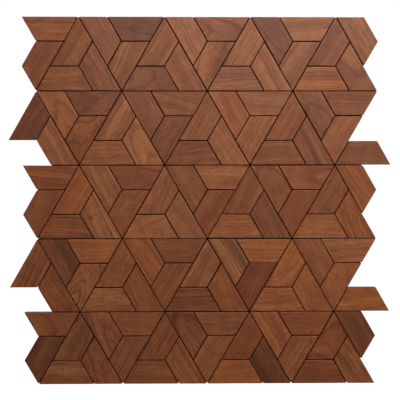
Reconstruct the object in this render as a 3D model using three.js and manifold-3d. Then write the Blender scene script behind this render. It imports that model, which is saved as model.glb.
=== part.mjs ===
// Interlocking sheet of wooden mosaic for a wall. Equilateral triangles, each laid from three equal
// trapezoid tiles in a pinwheel, stand in five rows on one thin fibreboard. The sheet's left and right
// ends are left unfinished, so that the tongues of one sheet fill the notches of the next.
//
// Frame, in millimetres: +X to the right and +Z up as seen from the front, the tiles face -Y, and the
// origin is at the middle of the board's back face, which is glued to the wall.
import * as THREE from "three";
import { mergeVertices } from "three/addons/utils/BufferGeometryUtils.js";
import Module from "manifold-3d";

// Driving dimensions.
const TRIANGLE_SIDE = 75;
const JOINT = 0.7;
const TILE_THICKNESS = 5;
const ARRIS = 0.4;
const BOARD_THICKNESS = 3;
const BOARD_SETBACK = 0.2;
const ROWS = 5;
const TRIANGLES_PER_ROW = 4;

// The outermost tiles are pieces of their own. The innermost ones are joined to the board that they
// are glued to.
const TILES_OF_THEIR_OWN = 59;
const GLUE_SINK = 0.2;

const UNIT = TRIANGLE_SIDE / 3;
const ROW_HEIGHT = (TRIANGLE_SIDE * Math.sqrt(3)) / 2;
const TILE_WIDTH = ROW_HEIGHT / 3;
const SHEET_HEIGHT = ROWS * ROW_HEIGHT;
const LEFT_TIP = -UNIT;
const RIGHT_TIP = TRIANGLES_PER_ROW * TRIANGLE_SIDE + UNIT / 2;
const MIDDLE = new THREE.Vector2((LEFT_TIP + RIGHT_TIP) / 2, -SHEET_HEIGHT / 2);

const wood = new THREE.MeshStandardMaterial({ color: 0x7d4b33, roughness: 0.55, metalness: 0 });
const blackBoard = new THREE.MeshStandardMaterial({ color: 0x17130f, roughness: 0.9, metalness: 0 });

// A point of the pattern: x counts from the first node of the first row's lower line, and level
// counts rows down from the top edge. Thirds of a row are where the tiles' short sides lie.
function patternPoint(x, level) {
  return new THREE.Vector2(x - MIDDLE.x, -level * ROW_HEIGHT - MIDDLE.y);
}

// The outline moved inwards by a distance, each corner mitred. It runs counterclockwise.
function inset(outline, distance) {
  return outline.map((corner, i) => {
    const before = outline.at(i - 1);
    const after = outline[(i + 1) % outline.length];
    const incoming = corner.clone().sub(before).normalize();
    const outgoing = after.clone().sub(corner).normalize();
    const inwards = new THREE.Vector2(-incoming.y - outgoing.y, incoming.x + outgoing.x).normalize();
    const towardsBisector = new THREE.Vector2(-incoming.y, incoming.x).dot(inwards);
    return corner.clone().addScaledVector(inwards, distance / towardsBisector);
  });
}

// A closed solid through rings of equal length, given from the back one to the front one.
function loft(rings) {
  const count = rings[0].outline.length;
  const positions = rings.flatMap(({ outline, y }) => outline.flatMap((p) => [p.x, y, p.y]));
  const faces = [];
  for (let ring = 0; ring + 1 < rings.length; ring += 1) {
    for (let i = 0; i < count; i += 1) {
      const back = ring * count + i;
      const backNext = ring * count + ((i + 1) % count);
      faces.push([back, backNext, backNext + count], [back, backNext + count, back + count]);
    }
  }
  const front = rings.at(-1).outline;
  const frontStart = (rings.length - 1) * count;
  const turns = ([a, b, c]) => THREE.ShapeUtils.area([front[a], front[b], front[c]]) > 0;
  for (const face of THREE.ShapeUtils.triangulateShape(front, [])) {
    const [a, b, c] = turns(face) ? face : face.toReversed();
    faces.push([c, b, a], [frontStart + a, frontStart + b, frontStart + c]);
  }
  return new THREE.BufferGeometry()
    .setAttribute("position", new THREE.Float32BufferAttribute(positions, 3))
    .setIndex(faces.flat());
}

// One tile: half of a regular hexagon, less half a joint on every side, with its front arris eased.
// Its long side runs along +X from the origin, where its first sharp corner would be.
function tileGeometry(sink = 0) {
  const cell = [
    new THREE.Vector2(0, 0),
    new THREE.Vector2(2 * UNIT, 0),
    new THREE.Vector2(1.5 * UNIT, TILE_WIDTH),
    new THREE.Vector2(0.5 * UNIT, TILE_WIDTH),
  ];
  const face = inset(cell, JOINT / 2);
  const frontY = -BOARD_THICKNESS - TILE_THICKNESS;
  return loft([
    { outline: face, y: -BOARD_THICKNESS + sink },
    { outline: face, y: frontY + ARRIS },
    { outline: inset(face, ARRIS), y: frontY },
  ]);
}

// The three tiles of a triangle start at its three corners, and each runs along the side that
// leads counterclockwise to the next corner.
function triangleTiles(name, corners, places) {
  return places.map((place, i) => {
    const start = corners[i];
    const end = corners[(i + 1) % 3];
    const centre = corners[0].clone().add(corners[1]).add(corners[2]).divideScalar(3);
    const tileCentre = start.clone().lerp(end, 1 / 3).lerp(centre, 0.45);
    const turn = Math.atan2(end.y - start.y, end.x - start.x);
    return { name: `tile_${name}_${place}`, place, start, turn, tileCentre };
  });
}

function upTriangle(row, number, apexX) {
  const corners = [
    patternPoint(apexX, row),
    patternPoint(apexX - TRIANGLE_SIDE / 2, row + 1),
    patternPoint(apexX + TRIANGLE_SIDE / 2, row + 1),
  ];
  return triangleTiles(`row${row + 1}_up${number + 1}`, corners, ["left", "base", "right"]);
}

function downTriangle(row, number, apexX) {
  const corners = [
    patternPoint(apexX + TRIANGLE_SIDE / 2, row),
    patternPoint(apexX - TRIANGLE_SIDE / 2, row),
    patternPoint(apexX, row + 1),
  ];
  return triangleTiles(`row${row + 1}_down${number + 1}`, corners, ["top", "left", "right"]);
}

// A row starts with two tiles of a triangle whose third tile belongs to the sheet on its left,
// and ends with that third tile of the next one. Every second row is moved by half a triangle.
function rowTiles(row) {
  const startsDown = row % 2 === 0;
  const edgeTriangle = startsDown ? downTriangle : upTriangle;
  const wholeTriangle = startsDown ? upTriangle : downTriangle;
  const endingPlace = startsDown ? "left" : "base";
  const tiles = [];
  for (let i = 0; i <= TRIANGLES_PER_ROW; i += 1) {
    const shared = edgeTriangle(row, i, i * TRIANGLE_SIDE);
    if (i === 0) tiles.push(...shared.filter((tile) => tile.place !== endingPlace));
    else if (i === TRIANGLES_PER_ROW) tiles.push(...shared.filter((tile) => tile.place === endingPlace));
    else tiles.push(...shared);
    if (i < TRIANGLES_PER_ROW) tiles.push(...wholeTriangle(row, i, (i + 0.5) * TRIANGLE_SIDE));
  }
  return tiles;
}

// The sheet's outline, counterclockwise from its top left corner. Odd rows end in a V notch on each
// side. Even rows end in a long notch on the left and a tongue on the right.
function sheetOutline() {
  const right = TRIANGLES_PER_ROW * TRIANGLE_SIDE;
  const left = [];
  const rightUpwards = [];
  for (let row = 0; row < ROWS; row += 1) {
    if (row % 2 === 0) {
      left.push([-UNIT / 2, row], [0, row + 1 / 3], [-UNIT / 2, row + 2 / 3], [0, row + 1]);
      rightUpwards.unshift(
        [right, row + 1],
        [right - UNIT / 2, row + 2 / 3],
        [right, row + 1 / 3],
        [right - UNIT / 2, row],
      );
    } else {
      left.push([-UNIT, row + 2 / 3], [0, row + 2 / 3], [UNIT / 2, row + 1]);
      rightUpwards.unshift([right + UNIT / 2, row + 1], [right, row + 2 / 3], [right - UNIT, row + 2 / 3]);
    }
  }
  return [...left, ...rightUpwards].map(([x, level]) => patternPoint(x, level));
}

function boardGeometry() {
  const outline = inset(sheetOutline(), JOINT / 2 + BOARD_SETBACK);
  return loft([
    { outline, y: 0 },
    { outline, y: -BOARD_THICKNESS },
  ]);
}

const wasm = await Module();
wasm.setup();

function solidFrom(geometry, matrix = new THREE.Matrix4()) {
  const placed = geometry.clone().applyMatrix4(matrix);
  const merged = mergeVertices(placed);
  return new wasm.Manifold(
    new wasm.Mesh({
      numProp: 3,
      vertProperties: merged.attributes.position.array,
      triVerts: new Uint32Array(merged.index.array),
    }),
  );
}

function geometryFrom(solid) {
  const { numVert, numProp, vertProperties, triVerts } = solid.getMesh();
  const positions = new Float32Array(numVert * 3);
  for (let i = 0; i < numVert; i += 1) {
    positions.set(vertProperties.subarray(i * numProp, i * numProp + 3), i * 3);
  }
  return new THREE.BufferGeometry()
    .setAttribute("position", new THREE.BufferAttribute(positions, 3))
    .setIndex(new THREE.BufferAttribute(triVerts, 1));
}

// Turning from +X towards +Z is a negative rotation about +Y.
function placeTile(object, tile) {
  object.position.set(tile.start.x, 0, tile.start.y);
  object.rotation.y = -tile.turn;
  object.updateMatrix();
  return object;
}

const tiles = Array.from({ length: ROWS }, (_, row) => rowTiles(row)).flat();
const outermostFirst = tiles.toSorted((a, b) => b.tileCentre.length() - a.tileCentre.length());
const looseTiles = new Set(outermostFirst.slice(0, TILES_OF_THEIR_OWN));

const mosaicSheet = new THREE.Group();

const tileShape = tileGeometry();
for (const tile of tiles.filter((each) => looseTiles.has(each))) {
  const mesh = placeTile(new THREE.Mesh(tileShape, wood), tile);
  mesh.name = tile.name;
  mosaicSheet.add(mesh);
}

const gluedShape = tileGeometry(GLUE_SINK);
let boardSolid = solidFrom(boardGeometry());
for (const tile of tiles.filter((each) => !looseTiles.has(each))) {
  const place = placeTile(new THREE.Object3D(), tile).matrix;
  boardSolid = boardSolid.add(solidFrom(gluedShape, place));
}
const board = new THREE.Mesh(geometryFrom(boardSolid), blackBoard);
board.name = "board_with_inner_tiles";
mosaicSheet.add(board);

export default mosaicSheet;
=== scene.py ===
# %% [markdown]
# # One sheet of an interlocking wood mosaic
#
# The real thing is a wall covering: small trapezoid tiles sawn from reddish brown hardwood, three to
# a triangle, glued on a thin black board. The two ends of the sheet are toothed, so that one sheet
# meshes with the next.
#
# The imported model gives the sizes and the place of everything. This lesson lays every tile and the
# board again as a piece of its own, with eased edges and with wood that was sawn from a log.
#
# Frame, in metres: +X to the right and +Z up as seen from the front, the tiles face -Y.

# %% Load the frame
import math
import random

import bmesh
import bpy
from mathutils import Matrix, Vector


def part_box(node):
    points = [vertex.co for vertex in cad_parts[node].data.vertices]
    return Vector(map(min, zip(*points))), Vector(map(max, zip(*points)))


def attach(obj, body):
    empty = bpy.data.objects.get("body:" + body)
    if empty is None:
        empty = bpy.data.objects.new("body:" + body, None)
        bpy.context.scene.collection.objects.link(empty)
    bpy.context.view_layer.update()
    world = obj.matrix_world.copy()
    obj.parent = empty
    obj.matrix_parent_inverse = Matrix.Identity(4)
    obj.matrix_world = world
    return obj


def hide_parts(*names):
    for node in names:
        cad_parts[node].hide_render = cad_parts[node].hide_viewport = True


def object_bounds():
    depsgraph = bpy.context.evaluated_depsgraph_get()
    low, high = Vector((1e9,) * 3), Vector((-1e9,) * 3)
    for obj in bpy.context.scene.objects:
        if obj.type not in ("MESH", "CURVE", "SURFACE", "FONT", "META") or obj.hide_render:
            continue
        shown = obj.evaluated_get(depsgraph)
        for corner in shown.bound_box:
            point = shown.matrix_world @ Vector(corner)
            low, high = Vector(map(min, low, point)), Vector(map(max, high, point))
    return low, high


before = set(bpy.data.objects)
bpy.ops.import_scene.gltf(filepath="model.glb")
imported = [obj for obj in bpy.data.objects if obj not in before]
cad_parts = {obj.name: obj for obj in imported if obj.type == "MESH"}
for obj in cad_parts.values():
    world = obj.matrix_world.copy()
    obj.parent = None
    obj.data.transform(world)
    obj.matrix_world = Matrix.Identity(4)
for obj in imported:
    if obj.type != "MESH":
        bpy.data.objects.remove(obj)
scene = bpy.context.scene
cad_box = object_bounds()
print("packed nodes:", len(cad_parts))
print("box in mm:", [[round(1000 * number, 2) for number in corner] for corner in cad_box])

# %% [markdown]
# ## The camera
#
# The sheet is seen from straight ahead. A camera a little above its middle, turned down by less than
# four degrees, keeps the rows level and lets the top row look a touch wider than the bottom one. From
# a metre away a lens of 108 mm looks almost straight into the joints, so they show as dark lines right
# to the rim. Set first, the camera shows every later piece at once.

# %% Set up the camera
CAMERA_PLACE = (-0.020, -1.063, 0.0695)
CAMERA_TILT = math.radians(86.33)
CAMERA_TURN = math.radians(-1.08)


def add_object(name, data):
    """A new object that shows the given camera, light or mesh, linked to the scene."""
    made = bpy.data.objects.new(name, data)
    scene.collection.objects.link(made)
    return made


camera_data = bpy.data.cameras.new("front_camera")
camera_data.lens = 108
camera_data.sensor_width = 36
camera = add_object("front_camera", camera_data)
camera.location = CAMERA_PLACE
camera.rotation_euler = (CAMERA_TILT, 0, CAMERA_TURN)
scene.camera = camera
print("camera distance to the wall in m:", round(abs(camera.location.y), 3))

# %% [markdown]
# ## The pattern
#
# Equilateral triangles stand in five rows, pointing up and down in turn. Each is cut into three equal
# trapezoids that follow one another round the middle like a pinwheel. A tile can be described by
# where it starts, a corner of its triangle, and by the way that it runs from there. Every second row
# is moved by half a triangle, and the first triangle of a row gives its third tile to the far end.

# %% Driving sizes
TRIANGLE_SIDE = 0.075
JOINT = 0.0007
TILE_THICKNESS = 0.005
BOARD_THICKNESS = 0.003
BOARD_SETBACK = 0.0002
ROWS = 5
TRIANGLES_PER_ROW = 4

UNIT = TRIANGLE_SIDE / 3
ROW_HEIGHT = TRIANGLE_SIDE * math.sqrt(3) / 2
TILE_WIDTH = ROW_HEIGHT / 3
FRONT = -BOARD_THICKNESS - TILE_THICKNESS
MIDDLE = Vector(((TRIANGLES_PER_ROW * TRIANGLE_SIDE - UNIT / 2) / 2, -ROWS * ROW_HEIGHT / 2))
print("tile in mm:", round(2000 * UNIT, 1), "by", round(1000 * TILE_WIDTH, 1))


# %% Lay out the tiles
def pattern_point(x, level):
    """A point of the pattern, with x counted from the first node and level in rows from the top."""
    return Vector((x, -level * ROW_HEIGHT)) - MIDDLE


def triangle_tiles(name, corners, places):
    """The three tiles of a triangle: each starts at a corner and runs along the side to the next."""
    return [
        {"name": f"{name}_{place}", "place": place, "start": corners[i], "end": corners[(i + 1) % 3]}
        for i, place in enumerate(places)
    ]


def up_triangle(row, number, x):
    """The tiles of a triangle that points up, with its apex at x."""
    corners = [
        pattern_point(x, row),
        pattern_point(x - TRIANGLE_SIDE / 2, row + 1),
        pattern_point(x + TRIANGLE_SIDE / 2, row + 1),
    ]
    return triangle_tiles(f"row{row + 1}_up{number + 1}", corners, ["left", "base", "right"])


def down_triangle(row, number, x):
    """The tiles of a triangle that points down, with its apex at x."""
    corners = [
        pattern_point(x + TRIANGLE_SIDE / 2, row),
        pattern_point(x - TRIANGLE_SIDE / 2, row),
        pattern_point(x, row + 1),
    ]
    return triangle_tiles(f"row{row + 1}_down{number + 1}", corners, ["top", "left", "right"])


def row_tiles(row):
    """A row's tiles from left to right. Triangles at its ends are shared with the next sheets."""
    shared, whole, last_place = (
        (down_triangle, up_triangle, "left") if row % 2 == 0 else (up_triangle, down_triangle, "base")
    )
    laid = []
    for i in range(TRIANGLES_PER_ROW + 1):
        for tile in shared(row, i, i * TRIANGLE_SIDE):
            is_last_place = tile["place"] == last_place
            if (i > 0 or not is_last_place) and (i < TRIANGLES_PER_ROW or is_last_place):
                laid.append(tile)
        if i < TRIANGLES_PER_ROW:
            laid += whole(row, i, (i + 0.5) * TRIANGLE_SIDE)
    return laid


tiles = [tile for row in range(ROWS) for tile in row_tiles(row)]
print("tiles:", len(tiles))

# %% [markdown]
# ## Trees in the tiles
#
# What makes such a mosaic lively is that no two tiles come from the same piece of wood. Each tile
# therefore gets its own place in a log: how far it lay from the pith, how steeply the saw crossed the
# growth rings, and how dark the tree was there. Rings cut on edge draw straight lines along the tile.
# Rings cut flat draw arches, and where the saw crossed them steeply they close into loops.
#
# A seeded random choice does this for all tiles, and the few that catch the eye are named: deep and
# dark, pale and warm orange ones, those with arches, loops or a bold figure, a few with a streak and
# two with a small knot. A streak is given by its place across the tile and half its width, a knot by
# its place along and across, in millimetres from the tile's middle. Where a tile is in two of the
# lists that change its brightness or warmth, the later change counts.

# %% Name the tiles that stand out
DEEP = """row1_down2_top row2_up1_left row5_down1_right row4_down3_right row5_down5_left
    row5_up3_right row1_down4_left""".split()
DARK = """row1_up2_base row5_up3_left row2_up3_base row4_up3_base row2_down4_top row1_down1_right
    row4_down1_left""".split()
PALE = "row3_up1_right row2_down1_left row4_up4_right row2_up2_right row3_down2_left".split()
WARM = "row4_down1_top row5_up3_base row4_down3_top row4_up5_base row4_down3_right".split()
ARCHED = "row2_down1_right row1_down3_right row5_up1_left row3_down2_top row2_down4_left".split()
BOLD = "row1_down3_right row5_down2_left row5_up1_left row4_down3_left".split()
LOOPED = "row4_up4_left row4_down1_right row5_down2_left".split()
PALE_STREAK = {"row3_up1_right": (-7.5, 1.3), "row4_down3_left": (-4, 6)}
DARK_STREAK = {
    "row4_down3_left": (8, 4),
    "row2_up4_right": (-1, 3),
    "row4_down1_left": (5, 6),
    "row1_down3_right": (-8, 6),
    "row5_up3_right": (8, 6),
}
KNOT = {"row3_up1_right": (5, 3.5), "row4_up4_right": (-18, 4)}
print("tiles with a trait of their own:", len(set(DEEP + DARK + PALE + WARM + ARCHED + BOLD + LOOPED)))

# %% Say how they differ
BRIGHTNESS = ((WARM, 1.1), (DEEP, -2.5), (DARK, -1.4), (PALE, 1.6))
WARMTH = ((DEEP, -1.0), (WARM, 1.4))
CLEAR_FIGURE = {"zones": 1.2, "lines": 1.2}
BOLD_FIGURE = {"zones": 1.5, "lines": 1.2}
PALE_STREAK_GAIN = 0.4
DARK_STREAK_GAIN = -0.35
BRIGHTER = (0.140, 0.178, 0.155)
WARMER = (0.055, 0.010, -0.085)


def tint(brightness, warmth):
    """How much a tile multiplies red, green and blue: 0, 0 is the middle of the batch."""
    return [math.exp(brightness * b + warmth * w) for b, w in zip(BRIGHTER, WARMER)]


print("one step brighter multiplies by", [round(number, 2) for number in tint(1, 0)])


# %% Choose each tile's place in the log
FLAT_SAWN_SHARE = 0.22


def wood_of(name):
    """The piece of wood that a tile was sawn from. Lengths are in millimetres, angles in degrees."""
    draw = random.Random("mosaic " + name)
    brightness = max(-1.3, min(1.3, draw.gauss(0.1, 0.75)))
    warmth = max(-1.8, min(1.8, draw.gauss(0, 0.9)))
    cut = draw.random()
    side = draw.choice((-1, 1))
    wood = {
        "along": draw.uniform(0, 6000),
        "from_pith": (side * draw.uniform(32, 80), draw.uniform(-25, 25)),
        "slant": draw.gauss(0, 3.5),
        "dive": draw.gauss(0, 1.5),
        "zones": draw.uniform(0.5, 1.1),
        "lines": draw.uniform(0.3, 1.2),
        "fibre": draw.uniform(0.6, 1.2),
        "streak": (draw.uniform(-11, 11), draw.uniform(2, 6), draw.gauss(0, 0.07)),
        "knot": KNOT.get(name),
    }
    if cut < FLAT_SAWN_SHARE or name in ARCHED:
        wood["from_pith"] = (draw.uniform(-6, 6), side * draw.uniform(16, 34))
        wood["dive"] = draw.choice((-1, 1)) * draw.uniform(4, 9)
    if name in LOOPED:
        wood["from_pith"] = (draw.uniform(-3, 3), draw.uniform(3, 7))
        wood["dive"] = draw.choice((-1, 1)) * draw.uniform(13, 18)
    if name in ARCHED + LOOPED:
        wood.update(CLEAR_FIGURE)
    if name in BOLD:
        wood.update(BOLD_FIGURE)
    for names, change in BRIGHTNESS:
        brightness = change if name in names else brightness
    for names, change in WARMTH:
        warmth = change if name in names else warmth
    if name in PALE_STREAK:
        wood["streak"] = (*PALE_STREAK[name], PALE_STREAK_GAIN)
    if name in DARK_STREAK:
        wood["streak"] = (*DARK_STREAK[name], DARK_STREAK_GAIN)
    wood["tint"] = tint(brightness, warmth)
    return wood


woods = {tile["name"]: wood_of(tile["name"]) for tile in tiles}
reds = sorted(wood["tint"][0] for wood in woods.values())
print("darkest, middle and palest red:", [round(reds[i], 2) for i in (0, len(reds) // 2, -1)])

# %% [markdown]
# ## A tile's shape
#
# A tile is a flat trapezoid with sawn sides. Its front edge was eased with abrasive paper, so it is a
# narrow, slightly uneven roundover, not a knife edge. A bevel modifier could do that, but rings of
# vertices placed one by one keep the faces even and let the width of the roundover waver. Near each
# corner the steps are short, so that the corner itself can be blunted a hair. No two tiles are quite
# alike: each is a hair undersize, lies a hair behind the front, and leans a little both ways.

# %% Outlines
EASING = 0.00036
CORNER_BLUNTING = 0.0001
MOST_UNDERSIZE = 0.00008
LOWER_THAN_FRONT = (0.00002, 0.00018)
LEAN_ALONG = 0.0012
LEAN_ACROSS = 0.0018


def inset(outline, distance):
    """The outline moved inwards, each corner mitred. It runs counterclockwise."""
    moved = []
    for i, corner in enumerate(outline):
        arriving = (corner - outline[i - 1]).normalized()
        leaving = (outline[(i + 1) % len(outline)] - corner).normalized()
        inwards = Vector((-arriving.y - leaving.y, arriving.x + leaving.x)).normalized()
        moved.append(corner + inwards * (distance / inwards.dot(Vector((-arriving.y, arriving.x)))))
    return moved


def steps(count, first):
    """Shares of an edge from 0 to 1: even ones, with a short step at each end."""
    even = [first + (1 - 2 * first) * i / count for i in range(count + 1)]
    return [0.0, *even, 1.0]


TILE_CELL = [
    Vector((0, 0)),
    Vector((2 * UNIT, 0)),
    Vector((1.5 * UNIT, TILE_WIDTH)),
    Vector((0.5 * UNIT, TILE_WIDTH)),
]
ALONG = steps(18, 0.012)
ACROSS = steps(8, 0.025)
print("front face grid:", len(ALONG), "by", len(ACROSS))


# %% The border of the grid, counterclockwise
LAST_ALONG = len(ALONG) - 1
LAST_ACROSS = len(ACROSS) - 1
BORDER = (
    [(i, 0) for i in range(LAST_ALONG)]
    + [(LAST_ALONG, j) for j in range(LAST_ACROSS)]
    + [(i, LAST_ACROSS) for i in range(LAST_ALONG, 0, -1)]
    + [(0, j) for j in range(LAST_ACROSS, 0, -1)]
)
CORNERS = {(0, 0), (LAST_ALONG, 0), (LAST_ALONG, LAST_ACROSS), (0, LAST_ACROSS)}


def grid_point(corners, i, j):
    """The grid's point i, j between four corners, pulled in a hair if it is a corner itself."""
    low = corners[0].lerp(corners[1], ALONG[i])
    high = corners[3].lerp(corners[2], ALONG[i])
    point = low.lerp(high, ACROSS[j])
    if (i, j) in CORNERS:
        centre = (corners[0] + corners[1] + corners[2] + corners[3]) / 4
        point += (centre - point).normalized() * CORNER_BLUNTING
    return point


print("vertices round a tile:", len(BORDER))


# %% Draw what is uneven about a tile
def uneven_tile(draw):
    """One tile's outline and easing, and how its height and its easing change from place to place."""
    face = inset(TILE_CELL, JOINT / 2 + draw.uniform(0, MOST_UNDERSIZE))
    front = FRONT + draw.uniform(*LOWER_THAN_FRONT)
    lean = (draw.gauss(0, LEAN_ALONG), draw.gauss(0, LEAN_ACROSS))
    easing = EASING * draw.uniform(0.75, 1.15)
    phases = [draw.uniform(0, math.tau) for _ in range(3)]

    def height(point):
        leaning = lean[0] * (point.x - UNIT) + lean[1] * (point.y - TILE_WIDTH / 2)
        return max(FRONT, front + leaning)

    def easing_at(k):
        turn = math.tau * k / len(BORDER)
        waver = math.sin(3 * turn + phases[0]) + math.sin(7 * turn + phases[1])
        return easing * (1 + 0.10 * waver + 0.08 * math.sin(23 * turn + phases[2]))

    return face, easing, height, easing_at


sample_easing_at = uneven_tile(random.Random(1))[3]
sample_easings = [1000 * sample_easing_at(k) for k in range(len(BORDER))]
print("a roundover's width in mm:", round(min(sample_easings), 2), "to", round(max(sample_easings), 2))


# %% Rings of vertices, from the back edge to the face
def side_ring(shape, face, height, easing_at, back_share):
    """A ring round the sides: at the back edge for 1, where the roundover starts for 0."""
    ring = []
    for k, (i, j) in enumerate(BORDER):
        point = grid_point(face, i, j)
        top = height(point) + easing_at(k)
        depth = top + (-BOARD_THICKNESS - top) * back_share
        ring.append(shape.verts.new((point.x, depth, point.y)))
    return ring


def roundover_ring(shape, face, height, easing_at, angle):
    """A ring on the roundover, which is a quarter circle, at so many degrees from the side."""
    ring = []
    for k, (i, j) in enumerate(BORDER):
        outer = grid_point(face, i, j)
        width = easing_at(k)
        inner = grid_point(inset(face, width), i, j)
        point = outer.lerp(inner, 1 - math.cos(math.radians(angle)))
        depth = height(point) + width * (1 - math.sin(math.radians(angle)))
        ring.append(shape.verts.new((point.x, depth, point.y)))
    return ring


def face_grid(shape, face, easing, height, easing_at):
    """The vertices of the front face. Those on its border lie where the roundover ends."""
    widths = {where: easing_at(k) for k, where in enumerate(BORDER)}
    grid = {}
    for i in range(len(ALONG)):
        for j in range(len(ACROSS)):
            point = grid_point(inset(face, widths.get((i, j), easing)), i, j)
            grid[i, j] = shape.verts.new((point.x, height(point), point.y))
    return grid


BACK_SHARES = (1, 0.5, 0)
ROUNDOVER_ANGLES = (22.5, 45, 67.5)
print("rings behind the face:", len(BACK_SHARES) + len(ROUNDOVER_ANGLES))


# %% Build one tile
def tile_mesh(name, draw):
    """A closed tile in its own coordinates: X runs along the long side, Z across, -Y is the front."""
    face, easing, height, easing_at = uneven_tile(draw)
    shape = bmesh.new()
    rings = [side_ring(shape, face, height, easing_at, share) for share in BACK_SHARES]
    rings += [roundover_ring(shape, face, height, easing_at, angle) for angle in ROUNDOVER_ANGLES]
    grid = face_grid(shape, face, easing, height, easing_at)
    rings.append([grid[where] for where in BORDER])

    shape.faces.new(reversed(rings[0]))
    for outer, inner in zip(rings, rings[1:]):
        for k in range(len(BORDER)):
            after = (k + 1) % len(BORDER)
            shape.faces.new((outer[k], outer[after], inner[after], inner[k]))
    for i in range(LAST_ALONG):
        for j in range(LAST_ACROSS):
            shape.faces.new((grid[i, j], grid[i + 1, j], grid[i + 1, j + 1], grid[i, j + 1]))

    mesh = bpy.data.meshes.new(name)
    shape.to_mesh(mesh)
    shape.free()
    for polygon in mesh.polygons:
        polygon.use_smooth = True
    mesh.set_sharp_from_angle(angle=math.radians(40))
    return mesh


sample = tile_mesh("sample_tile", random.Random(1))
print("faces in a tile:", len(sample.polygons))
bpy.data.meshes.remove(sample)

# %% [markdown]
# ## What the wood shader needs to know
#
# A shader can draw growth rings only if it knows where in the log a point lay. Image coordinates
# can't say that, so every vertex stores it as an attribute, and the rings run through the tile from
# the face down the sides. More attributes hold the tile's tint, how strong its figure is, a streak,
# the place of a knot, and how near the eased edge is.

# %% Store the wood on a tile
NO_KNOT = (0, 0, 500)
EDGE_WIDTH = 0.0015


def log_place(point, wood):
    """Where a point of the tile lay in the log, in millimetres: along it, then across from the pith."""
    x = 1000 * (point.x - UNIT)
    z = 1000 * (point.z - TILE_WIDTH / 2)
    depth = 1000 * (point.y - FRONT)
    slant = math.radians(wood["slant"])
    along = x * math.cos(slant) + z * math.sin(slant)
    across = z * math.cos(slant) - x * math.sin(slant)
    depth += along * math.tan(math.radians(wood["dive"]))
    return (along + wood["along"], across + wood["from_pith"][0], depth + wood["from_pith"][1])


def streak_place(place, wood):
    """The distance from the streak's middle in half widths, and how much paler the streak is."""
    middle, half_width, gain = wood["streak"]
    return ((place[1] - wood["from_pith"][0] - middle) / half_width, gain, 0)


def knot_place(point, wood):
    """The place as seen from the knot, in millimetres."""
    if not wood["knot"]:
        return NO_KNOT
    along, across = wood["knot"]
    return (1000 * (point.x - UNIT) - along, 1000 * (point.z - TILE_WIDTH / 2) - across, 0)


def edge_closeness(point, outline):
    """1 on the outline and 0 from EDGE_WIDTH inwards."""
    distances = []
    for i, corner in enumerate(outline):
        side = (outline[(i + 1) % len(outline)] - corner).normalized()
        distances.append(Vector((-side.y, side.x)).dot(Vector((point.x, point.z)) - corner))
    return max(0.0, 1 - min(distances) / EDGE_WIDTH)


sample_corner = log_place(Vector((0, FRONT, 0)), woods[tiles[0]["name"]])
print("a corner of the first tile lay at", [round(number) for number in sample_corner])


# %% Write it on the vertices
def add_vectors(mesh, name, vectors):
    """Stores three numbers with every vertex."""
    attribute = mesh.attributes.new(name, "FLOAT_VECTOR", "POINT")
    attribute.data.foreach_set("vector", [number for vector in vectors for number in vector])


def add_numbers(mesh, name, numbers):
    """Stores one number with every vertex."""
    mesh.attributes.new(name, "FLOAT", "POINT").data.foreach_set("value", numbers)


def store_wood(mesh, wood):
    points = [vertex.co for vertex in mesh.vertices]
    places = [log_place(point, wood) for point in points]
    figure = (wood["zones"], wood["lines"], wood["fibre"])
    outline = inset(TILE_CELL, JOINT / 2)
    add_vectors(mesh, "log_place", places)
    add_vectors(mesh, "tint", [wood["tint"]] * len(points))
    add_vectors(mesh, "figure", [figure] * len(points))
    add_vectors(mesh, "streak", [streak_place(place, wood) for place in places])
    add_vectors(mesh, "knot_place", [knot_place(point, wood) for point in points])
    add_numbers(mesh, "edge", [edge_closeness(point, outline) for point in points])


sample = tile_mesh("sample_tile", random.Random(1))
store_wood(sample, woods[tiles[0]["name"]])
print("on every vertex:", [item.name for item in sample.attributes if item.domain == "POINT"])
bpy.data.meshes.remove(sample)

# %% [markdown]
# ## Helpers for shader nodes
#
# A shader is a graph, and most of its nodes are arithmetic. A few helpers that add a node, fill or
# link its sockets and hand back its output let each finish below read like a short recipe.


# %% Node helpers
def add_node(tree, kind, values=None, **settings):
    """A new node. A value that is a socket is linked to the input, any other becomes its default."""
    made = tree.nodes.new(kind)
    for setting, value in settings.items():
        setattr(made, setting, value)
    for key, value in (values or {}).items():
        if isinstance(value, bpy.types.NodeSocket):
            tree.links.new(value, made.inputs[key])
        else:
            made.inputs[key].default_value = value
    return made


def calc(tree, operation, a, b=0.0, c=0.0):
    """Arithmetic with up to three numbers."""
    return add_node(tree, "ShaderNodeMath", {0: a, 1: b, 2: c}, operation=operation).outputs[0]


def calc_vector(tree, operation, a, b=(0, 0, 0)):
    """The same with vectors. Only a length comes out as a number."""
    made = add_node(tree, "ShaderNodeVectorMath", {0: a, 1: b}, operation=operation)
    return made.outputs["Value" if operation == "LENGTH" else "Vector"]


def ramp_up(tree, value, low, high, start=0.0, end=1.0):
    """A smooth change from start to end while value goes from low to high."""
    return add_node(
        tree,
        "ShaderNodeMapRange",
        {"Value": value, "From Min": low, "From Max": high, "To Min": start, "To Max": end},
        interpolation_type="SMOOTHSTEP",
    ).outputs["Result"]


def noise(tree, place, stretch, detail=2.0, roughness=0.5):
    """3-D noise with so many waves per millimetre along each axis of place."""
    stretched = calc_vector(tree, "MULTIPLY", place, stretch)
    return add_node(
        tree,
        "ShaderNodeTexNoise",
        {"Vector": stretched, "Scale": 1.0, "Detail": detail, "Roughness": roughness},
    )


def mix_colours(tree, factor, a, b, blend="MIX"):
    """Colour a where factor is 0 and b where it is 1. The node's sockets 6 and 7 are its colours."""
    made = add_node(
        tree, "ShaderNodeMix", {0: factor, 6: a, 7: b}, data_type="RGBA", blend_type=blend, clamp_factor=True
    )
    return made.outputs[2]


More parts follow.
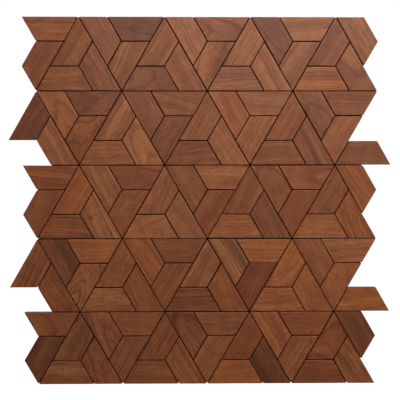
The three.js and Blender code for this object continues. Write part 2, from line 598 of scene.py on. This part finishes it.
def scale(tree, vector, factor):
    """A vector or colour multiplied by one number."""
    values = {0: vector, "Scale": factor}
    return add_node(tree, "ShaderNodeVectorMath", values, operation="SCALE").outputs["Vector"]


def multiply_colours(tree, a, b):
    return mix_colours(tree, 1.0, a, b, "MULTIPLY")


def split(tree, vector):
    """The three numbers of a vector, as sockets X, Y and Z."""
    return add_node(tree, "ShaderNodeSeparateXYZ", {0: vector}).outputs


def read_attribute(tree, name):
    return add_node(tree, "ShaderNodeAttribute", attribute_name=name)


def new_group(name, inputs, outputs):
    """An empty node group with named sockets, its input node and its output node."""
    group = bpy.data.node_groups.new(name, "ShaderNodeTree")
    for in_out, sockets in (("INPUT", inputs), ("OUTPUT", outputs)):
        for socket_name, kind, *default in sockets:
            socket_type = f"NodeSocket{kind}"
            socket = group.interface.new_socket(socket_name, in_out=in_out, socket_type=socket_type)
            if default:
                socket.default_value = default[0]
    return group, group.nodes.new("NodeGroupInput"), group.nodes.new("NodeGroupOutput")


helpers = (add_node, calc, calc_vector, ramp_up, noise, mix_colours, scale, split, new_group)
print("helpers:", ", ".join(helper.__name__ for helper in helpers))

# %% [markdown]
# ## Growth rings, fibres and pores
#
# Seen close, this wood has slow zones of colour, thin darker growth lines, a silky streak of fibres
# and short open pores. All of them follow the tree: zones and lines depend on the distance from the
# pith, which wavers along the log, and fibres and pores are long along it and thin across. As one
# node group, this serves the finished face and the sawn sides alike. An end shows the same rings as
# arcs and the same pores as dots, because the log is solid. Noise is sized in waves per millimetre,
# first along the log and then across it, and what bends the rings is a push in millimetres.

# %% Let the rings waver
SLOW_WAVES = (0.012, 0.035, 0.035)
QUICK_WAVES = (0.06, 0.17, 0.17)
QUICK_PUSH = (0.0, 1.3, 1.3)
HALF = (0.5, 0.5, 0.5)

log_grain, grain_in, grain_out = new_group(
    "log_grain",
    [("Place", "Vector"), ("Waver", "Float", 7.0)],
    [("Zones", "Float"), ("Lines", "Float"), ("Fibre", "Float"), ("Pores", "Float"), ("Mottle", "Float")],
)
place = grain_in.outputs["Place"]
slow = noise(log_grain, place, SLOW_WAVES, detail=1.0).outputs["Color"]
slow_push = scale(log_grain, calc_vector(log_grain, "SUBTRACT", slow, HALF), grain_in.outputs["Waver"])
quick = noise(log_grain, place, QUICK_WAVES, detail=2.0).outputs["Color"]
quick_push = calc_vector(log_grain, "MULTIPLY", calc_vector(log_grain, "SUBTRACT", quick, HALF), QUICK_PUSH)
wavering = calc_vector(log_grain, "ADD", calc_vector(log_grain, "ADD", place, slow_push), quick_push)
from_pith = calc_vector(log_grain, "LENGTH", calc_vector(log_grain, "MULTIPLY", wavering, (0, 1, 1)))
print("nodes that bend the rings:", len(log_grain.nodes))

# %% Draw rings, fibres and pores
ZONE_WAVES = 0.13
LINE_WAVES = 0.62
DRIFT_ALONG = 0.0021
FIBRE_WAVES = (0.05, 0.55, 0.55)
PORE_WAVES = (0.15, 2.1, 2.1)
MOTTLE_WAVES = (0.11, 0.05, 0.05)

drift = calc(log_grain, "MULTIPLY", split(log_grain, place)["X"], DRIFT_ALONG)


def ring_noise(waves_per_mm, detail):
    """Noise that changes only with the distance from the pith, so that it draws whole rings."""
    ring = calc(log_grain, "MULTIPLY_ADD", from_pith, waves_per_mm, drift)
    made = add_node(
        log_grain, "ShaderNodeTexNoise", {"W": ring, "Scale": 1.0, "Detail": detail}, noise_dimensions="1D"
    )
    return made.outputs["Fac"]


zones = ring_noise(ZONE_WAVES, 1.0)
lines = ring_noise(LINE_WAVES, 2.0)
fibre = noise(log_grain, place, FIBRE_WAVES, detail=4.0, roughness=0.75).outputs["Fac"]
pores = noise(log_grain, place, PORE_WAVES, detail=0.0).outputs["Fac"]
mottle = noise(log_grain, place, MOTTLE_WAVES, detail=2.0).outputs["Fac"]
for name, value in (
    ("Zones", ramp_up(log_grain, zones, 0.28, 0.72)),
    ("Lines", ramp_up(log_grain, lines, 0.53, 0.68)),
    ("Fibre", ramp_up(log_grain, fibre, 0.30, 0.70)),
    ("Pores", ramp_up(log_grain, pores, 0.63, 0.73)),
    ("Mottle", ramp_up(log_grain, mottle, 0.25, 0.75)),
):
    log_grain.links.new(value, grain_out.inputs[name])
print("grain group nodes:", len(log_grain.nodes))

# %% [markdown]
# ## The colour of the wood
#
# The face and the sides share their colour too: a ramp from the dark of the growth lines to the pale
# of the early wood, multiplied by the tile's tint. A streak or a knot, where the tile has one, comes
# on top. The group also gives a height for the bump, because pores are open and fibres stand proud.

# %% Build the wood colour
DARK_WOOD = (0.094, 0.0205, 0.0062, 1)
MIDDLE_WOOD = (0.203, 0.0590, 0.0170, 1)
PALE_WOOD = (0.350, 0.127, 0.046, 1)
MIDDLE_TONE = 0.53
ZONE_SWING = 0.22
FIBRE_SWING = 0.33
MOTTLE_SWING = 0.14
LINE_DARKENING = -0.26

wood_colour, colour_in, colour_out = new_group(
    "wood_colour", [("Contrast", "Float", 1.0)], [("Colour", "Color"), ("Height", "Float")]
)
tree = wood_colour
place = read_attribute(tree, "log_place").outputs["Vector"]
grain = add_node(tree, "ShaderNodeGroup", node_tree=log_grain)
tree.links.new(place, grain.inputs["Place"])
strengths = split(tree, read_attribute(tree, "figure").outputs["Vector"])


def swing(value, strength, amount):
    """A change of tone round zero, from a value between 0 and 1."""
    centred = calc(tree, "SUBTRACT", value, 0.5)
    return calc(tree, "MULTIPLY", calc(tree, "MULTIPLY", centred, strength), amount)


zone_swing = swing(grain.outputs["Zones"], strengths["X"], ZONE_SWING)
fibre_swing = swing(grain.outputs["Fibre"], strengths["Z"], FIBRE_SWING)
tone = calc(tree, "ADD", zone_swing, fibre_swing)
tone = calc(tree, "ADD", tone, swing(grain.outputs["Mottle"], 1.0, MOTTLE_SWING))
line_depth = calc(tree, "MULTIPLY", grain.outputs["Lines"], strengths["Y"])
tone = calc(tree, "MULTIPLY_ADD", line_depth, LINE_DARKENING, tone)
tone = calc(tree, "MULTIPLY_ADD", tone, colour_in.outputs["Contrast"], MIDDLE_TONE)
ramp = add_node(tree, "ShaderNodeValToRGB", {0: tone})
ramp.color_ramp.elements[0].color = DARK_WOOD
ramp.color_ramp.elements[1].color = PALE_WOOD
ramp.color_ramp.elements.new(0.5).color = MIDDLE_WOOD
tile_tint = read_attribute(tree, "tint").outputs["Vector"]
colour = multiply_colours(tree, ramp.outputs["Color"], tile_tint)
print("nodes for ramp and tint:", len(tree.nodes))

# %% Add the streak
STREAK_WAVES = (0.05, 0.3, 0.3)

streak = split(tree, read_attribute(tree, "streak").outputs["Vector"])
waver = calc(tree, "SUBTRACT", noise(tree, place, STREAK_WAVES).outputs["Fac"], 0.5)
streak_offset = calc(tree, "ABSOLUTE", calc(tree, "MULTIPLY_ADD", waver, 0.9, streak["X"]))
streak_mask = ramp_up(tree, streak_offset, 1.15, 0.35)
streak_gain = calc(tree, "MULTIPLY_ADD", streak_mask, streak["Y"], 1.0)
colour = scale(tree, colour, streak_gain)
print("nodes with the streak:", len(tree.nodes))

# %% Add the knot and the pores
KNOT_RIM = (0.10, 0.028, 0.012, 1)
KNOT_HEART = (0.03, 0.010, 0.006, 1)
OPEN_PORE = (0.045, 0.013, 0.007, 1)

from_knot = read_attribute(tree, "knot_place").outputs["Vector"]
knot_distance = calc_vector(tree, "LENGTH", calc_vector(tree, "MULTIPLY", from_knot, (0.7, 1.2, 1)))
colour = mix_colours(tree, ramp_up(tree, knot_distance, 4.0, 1.0, 0.0, 0.35), colour, KNOT_RIM)
colour = mix_colours(tree, ramp_up(tree, knot_distance, 1.3, 0.5, 0.0, 0.9), colour, KNOT_HEART)
pores = grain.outputs["Pores"]
pore_shade = calc(tree, "MULTIPLY", calc(tree, "MULTIPLY", pores, strengths["Z"]), 0.5)
colour = mix_colours(tree, pore_shade, colour, OPEN_PORE)
height = calc(tree, "MULTIPLY_ADD", pores, -1.0, calc(tree, "MULTIPLY", grain.outputs["Fibre"], 0.35))
tree.links.new(colour, colour_out.inputs["Colour"])
tree.links.new(height, colour_out.inputs["Height"])
print("colour group nodes:", len(tree.nodes))

# %% [markdown]
# ## The finished face
#
# The face was sanded and oiled. Oil leaves a low sheen, a little duller in the pores. The eased edge is
# darkened all round: partly where oil soaks in more and dust collects, partly painted shade that stands
# in for the roundover turned from the light. Those are changes of colour and roughness that follow the
# masks above, and a fine bump breaks the highlight up along the fibres.


# %% Build the finished face
def new_material(name):
    """A new material with its tree and the shader in it."""
    material = bpy.data.materials.new(name)
    material.use_nodes = True
    tree = material.node_tree
    return material, tree, tree.nodes["Principled BSDF"]


def add_bump(tree, shader, height, strength, distance):
    """Lets height raise the surface by up to a distance in metres."""
    values = {"Height": height, "Strength": strength, "Distance": distance}
    bump = add_node(tree, "ShaderNodeBump", values)
    tree.links.new(bump.outputs["Normal"], shader.inputs["Normal"])


# The edge tint is partly oil and dust, partly painted shade for the roundover.
EDGE_OIL_AND_SHADE_TINT = (0.80, 0.66, 0.64, 1)

oiled_face, tree, shader = new_material("oiled_tile_face")
wood = add_node(tree, "ShaderNodeGroup", node_tree=wood_colour)
# The darker edge mixed in here is partly painted shade.
edge_oil_and_shade_mask = ramp_up(tree, read_attribute(tree, "edge").outputs["Fac"], 0.70, 1.0)
oiled_and_shaded_edge_colour = multiply_colours(tree, wood.outputs["Colour"], EDGE_OIL_AND_SHADE_TINT)
colour = mix_colours(tree, edge_oil_and_shade_mask, wood.outputs["Colour"], oiled_and_shaded_edge_colour)
tree.links.new(colour, shader.inputs["Base Color"])
roughness = calc(tree, "MULTIPLY_ADD", wood.outputs["Height"], -0.12, 0.50)
tree.links.new(roughness, shader.inputs["Roughness"])
add_bump(tree, shader, wood.outputs["Height"], 0.5, 0.00008)
shader.inputs["Specular IOR Level"].default_value = 0.4
print("finished face:", oiled_face.name)

# %% [markdown]
# ## The sawn sides
#
# Nobody sees the sides once the sheet is up, so they are left as the saw left them: matte, with fine
# marks from front to back. Their colour is also made much darker, which is painted shade standing in
# for the shade deep in the narrow joints. On the slanted ends the fibres are cut through, and the rings
# show as arcs. The same wood colour serves, with a stronger contrast.

# %% Build the sawn side
# The side tint makes the sides much darker: painted shade for the deep joints.
SAWN_SIDE_SHADE_TINT = (0.44, 0.37, 0.34, 1)
SAW_MARK = (0.10, 0.040, 0.022, 1)

sawn_side, tree, shader = new_material("sawn_tile_side")
wood = add_node(tree, "ShaderNodeGroup", {"Contrast": 1.25}, node_tree=wood_colour)
place = read_attribute(tree, "log_place").outputs["Vector"]
marks = noise(tree, place, (1.6, 1.6, 0.15), detail=2.0).outputs["Fac"]
# The darkened side colour made here is painted shade.
shaded_side_colour = multiply_colours(tree, wood.outputs["Colour"], SAWN_SIDE_SHADE_TINT)
colour = mix_colours(tree, ramp_up(tree, marks, 0.35, 0.75, 0.0, 0.35), shaded_side_colour, SAW_MARK)
tree.links.new(colour, shader.inputs["Base Color"])
shader.inputs["Roughness"].default_value = 0.78
rough_height = calc(tree, "MULTIPLY_ADD", marks, 0.6, wood.outputs["Height"])
add_bump(tree, shader, rough_height, 0.6, 0.0001)
print("sawn side:", sawn_side.name)

# %% [markdown]
# ## Lay the tiles
#
# The tiles were set by hand: each sits a fraction of a millimetre off its place and turned by a
# fraction of a degree, so the joints are not all equally wide. None may leave the sheet's own box,
# because its neighbours on the wall have to fit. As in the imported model, a tile's place is in its mesh.

# %% Helpers for laying
SIDE_SLOT = 1
FACE_LEAN = 0.15
TURN_ERROR = 0.10
PLACE_ERROR = 0.00006


def give_finishes(mesh):
    """The oiled face goes on what looks forward, the sawn side on the sides and the back."""
    mesh.materials.append(oiled_face)
    mesh.materials.append(sawn_side)
    for polygon in mesh.polygons:
        if polygon.normal.y > -FACE_LEAN:
            polygon.material_index = SIDE_SLOT


def keep_inside(mesh):
    """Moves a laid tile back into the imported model's box."""
    low, high = cad_box
    move = Vector((0, 0, 0))
    for axis in (0, 2):
        places = [vertex.co[axis] for vertex in mesh.vertices]
        move[axis] = max(low[axis] - min(places), 0) - max(max(places) - high[axis], 0)
    mesh.transform(Matrix.Translation(move))


print("spread of the tiles' turn in degrees:", TURN_ERROR)

# %% Lay every tile
TILE_CENTRE = Vector((UNIT, 0, TILE_WIDTH / 2))
tile_pieces = {}
for tile in tiles:
    name = tile["name"]
    draw = random.Random("laying " + name)
    mesh = tile_mesh(f"mosaic_{name}", draw)
    store_wood(mesh, woods[name])
    give_finishes(mesh)
    run = tile["end"] - tile["start"]
    turned = Matrix.Rotation(-math.atan2(run.y, run.x), 4, "Y")
    off = Matrix.Rotation(math.radians(draw.gauss(0, TURN_ERROR)), 4, "Y")
    shift = Vector((draw.gauss(0, PLACE_ERROR), 0, draw.gauss(0, PLACE_ERROR)))
    start = Vector((tile["start"].x, 0, tile["start"].y))
    about_centre = Matrix.Translation(TILE_CENTRE) @ off @ Matrix.Translation(-TILE_CENTRE)
    mesh.transform(Matrix.Translation(start + shift) @ turned @ about_centre)
    keep_inside(mesh)
    tile_pieces[name] = add_object(f"mosaic_{name}", mesh)

print("tiles laid:", len(tile_pieces))
print("faces in all tiles:", sum(len(piece.data.polygons) for piece in tile_pieces.values()))

# %% [markdown]
# ## The board
#
# The backing is a thin black fibreboard, cut to the sheet's outline a hair inside the tiles.
# Through the joints it shows as a dark line, and from behind it is all there is to see. Its outline
# is the pattern's own edge, walked once round, and narrow chamfers take the sharpness off.


# %% Walk round the sheet
def sheet_outline():
    """Counterclockwise: down the left end, then up the right one."""
    right = TRIANGLES_PER_ROW * TRIANGLE_SIDE
    left_side, right_side = [], []
    for row in range(ROWS):
        if row % 2 == 0:
            left_side += [(-UNIT / 2, row), (0, row + 1 / 3), (-UNIT / 2, row + 2 / 3), (0, row + 1)]
            right_side += [
                (right - UNIT / 2, row),
                (right, row + 1 / 3),
                (right - UNIT / 2, row + 2 / 3),
                (right, row + 1),
            ]
        else:
            left_side += [(-UNIT, row + 2 / 3), (0, row + 2 / 3), (UNIT / 2, row + 1)]
            right_side += [(right - UNIT, row + 2 / 3), (right, row + 2 / 3), (right + UNIT / 2, row + 1)]
    return [pattern_point(x, level) for x, level in left_side + right_side[::-1]]


outline = sheet_outline()
print("corners of the board:", len(outline))


# %% Build the board
BACK_CHAMFER = 0.0004
FRONT_CHAMFER = 0.0002
BOARD_PROFILE = (
    (BACK_CHAMFER, 0.0),
    (0.0, -BACK_CHAMFER),
    (0.0, -BOARD_THICKNESS + FRONT_CHAMFER),
    (FRONT_CHAMFER, -BOARD_THICKNESS),
)


def board_mesh(name):
    """Rings of the outline, each as far in and as deep as the profile says, joined to a solid."""
    shape = bmesh.new()
    rings = []
    for distance, y in BOARD_PROFILE:
        ring = inset(outline, JOINT / 2 + BOARD_SETBACK + distance)
        rings.append([shape.verts.new((point.x, y, point.y)) for point in ring])
    shape.faces.new(reversed(rings[0]))
    shape.faces.new(rings[-1])
    for back, front in zip(rings, rings[1:]):
        for i in range(len(outline)):
            after = (i + 1) % len(outline)
            shape.faces.new((back[i], back[after], front[after], front[i]))
    shape.normal_update()
    bmesh.ops.triangulate(shape, faces=[face for face in shape.faces if len(face.verts) > 4])
    mesh = bpy.data.meshes.new(name)
    shape.to_mesh(mesh)
    shape.free()
    return mesh


board = add_object("black_backing_board", board_mesh("black_backing_board"))
print("board in mm:", [round(1000 * size, 1) for size in board.dimensions])

# %% [markdown]
# ## Black fibreboard
#
# Such board is pressed from dyed wood fibres. It isn't an even black: matted fibres catch a little
# light, the press leaves faint clouds, and dust settles on it. Noise at three sizes makes the clouds,
# the fibres and the dust. Two lots of fibres cross each other, and they also raise the surface.

# %% Build the fibreboard
DYED_BLACK = (0.0065, 0.0052, 0.0046, 1)
PALER_FIBRE = (0.034, 0.027, 0.022, 1)
PRESS_CLOUD = (0.022, 0.018, 0.016, 1)
DUST = (0.11, 0.095, 0.08, 1)

fibreboard, tree, shader = new_material("black_fibreboard")
position = add_node(tree, "ShaderNodeTexCoord").outputs["Object"]
in_mm = calc_vector(tree, "MULTIPLY", position, (1000, 1000, 1000))
bend = noise(tree, in_mm, (0.25, 0.25, 0.25), detail=2.0).outputs["Color"]
bent = calc_vector(tree, "ADD", in_mm, calc_vector(tree, "MULTIPLY", bend, (9, 9, 9)))
strands = noise(tree, bent, (0.35, 1.0, 2.6), detail=3.0, roughness=0.65).outputs["Fac"]
cross_strands = noise(tree, bent, (2.6, 1.0, 0.35), detail=3.0, roughness=0.65).outputs["Fac"]
matted = calc(tree, "MAXIMUM", strands, cross_strands)
clouds = noise(tree, in_mm, (0.02, 0.02, 0.02), detail=3.0).outputs["Fac"]
dust = noise(tree, in_mm, (1.4, 1.4, 1.4), detail=1.0).outputs["Fac"]
colour = mix_colours(tree, ramp_up(tree, matted, 0.48, 0.74), DYED_BLACK, PALER_FIBRE)
colour = mix_colours(tree, ramp_up(tree, clouds, 0.35, 0.70, 0.0, 0.35), colour, PRESS_CLOUD)
colour = mix_colours(tree, ramp_up(tree, dust, 0.70, 0.80, 0.0, 0.5), colour, DUST)
tree.links.new(colour, shader.inputs["Base Color"])
tree.links.new(ramp_up(tree, matted, 0.40, 0.75, 0.92, 0.70), shader.inputs["Roughness"])
add_bump(tree, shader, matted, 0.5, 0.00015)
board.data.materials.append(fibreboard)
print("board finish:", fibreboard.name)

# %% [markdown]
# ## Which piece stands for which solid
#
# The imported model keeps the outer tiles as nodes of their own, and the inner ones joined to the board
# that they are glued to. Every piece here rides on the one body, and the imported solid it stands for is
# hidden.

# %% Tie the pieces to the frame
inner_tiles = 0
worst = 0.0
for name, piece in tile_pieces.items():
    node_name = f"tile_{name}"
    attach(piece, "root")
    if node_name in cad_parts:
        low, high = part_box(node_name)
        points = [vertex.co for vertex in piece.data.vertices]
        middle = [(max(p[a] for p in points) + min(p[a] for p in points)) / 2 for a in (0, 2)]
        worst = max(worst, abs(middle[0] - (low.x + high.x) / 2), abs(middle[1] - (low.z + high.z) / 2))
        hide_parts(node_name)
    else:
        inner_tiles += 1
        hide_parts("board_with_inner_tiles")
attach(board, "root")
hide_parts("board_with_inner_tiles")
print("tiles joined to the board in the packed model:", inner_tiles)
print("largest distance of a tile from its solid in mm:", round(1000 * worst, 2))

# %% [markdown]
# ## Floor, light and background
#
# The sheet hangs well above a pale floor. A soft light near its upper right does the modelling: it is
# close, so the top of the sheet gets about twice as much light as the bottom. A weaker one above the
# camera gives the oil its sheen, most of all on the topmost rows, and a third one lights the back. The
# room is dim and warm, which makes the bottom rows redder. What the camera sees past the sheet is
# white, so the floor and the background add light of their own for camera rays only.

# %% Build the floor
FLOOR_HEIGHT = -0.8
FLOOR_REACH = 30
FLOOR_CORNERS = ((-1, -1), (1, -1), (1, 1), (-1, 1))

floor_mesh = bpy.data.meshes.new("pale_floor")
floor_points = [(x * FLOOR_REACH, y * FLOOR_REACH, FLOOR_HEIGHT) for x, y in FLOOR_CORNERS]
floor_mesh.from_pydata(floor_points, [], [(0, 1, 2, 3)])
floor = add_object("pale_floor", floor_mesh)
pale, tree, shader = new_material("pale_floor")
shader.inputs["Base Color"].default_value = (0.8, 0.8, 0.8, 1)
shader.inputs["Roughness"].default_value = 0.9
camera_ray = add_node(tree, "ShaderNodeLightPath").outputs["Is Camera Ray"]
shader.inputs["Emission Color"].default_value = (1, 1, 1, 1)
tree.links.new(camera_ray, shader.inputs["Emission Strength"])
floor_mesh.materials.append(pale)
print("floor height in m:", FLOOR_HEIGHT)


# %% Set up the light
def soft_light(name, location, target, width, height, watts, colour=(1, 1, 1)):
    """A rectangular light at a location that shines towards a target."""
    data = bpy.data.lights.new(name, "AREA")
    data.shape = "RECTANGLE"
    data.size, data.size_y = width, height
    data.energy = watts
    data.color = colour
    light = add_object(name, data)
    light.location = location
    light.rotation_euler = (Vector(target) - Vector(location)).to_track_quat("-Z", "Y").to_euler()


soft_light("key_light", (0.37, -0.42, 0.56), (0.02, 0, 0.07), 0.5, 0.4, 6.2, (0.98, 1.0, 0.97))
soft_light("sheen_light", (0.10, -0.80, 0.47), (0, 0, 0.14), 0.45, 0.20, 3.3, (0.94, 1.0, 0.98))
soft_light("back_fill", (-0.8, 1.2, 0.9), (0, 0, 0), 1.0, 0.8, 16)

# %% Set up the room
ROOM_COLOUR = (1.0, 0.50, 0.33, 1)
WHITE = (1, 1, 1, 1)
ROOM_STRENGTH = 0.11
ADDED_FOR_CAMERA = 0.91

world = bpy.data.worlds.new("studio")
scene.world = world
world.use_nodes = True
tree = world.node_tree
background = tree.nodes["Background"]
camera_ray = add_node(tree, "ShaderNodeLightPath").outputs["Is Camera Ray"]
tree.links.new(mix_colours(tree, camera_ray, ROOM_COLOUR, WHITE), background.inputs["Color"])
strength = calc(tree, "MULTIPLY_ADD", camera_ray, ADDED_FOR_CAMERA, ROOM_STRENGTH)
tree.links.new(strength, background.inputs["Strength"])
scene.view_settings.view_transform = "Standard"
print("strength of the room's own light:", ROOM_STRENGTH)
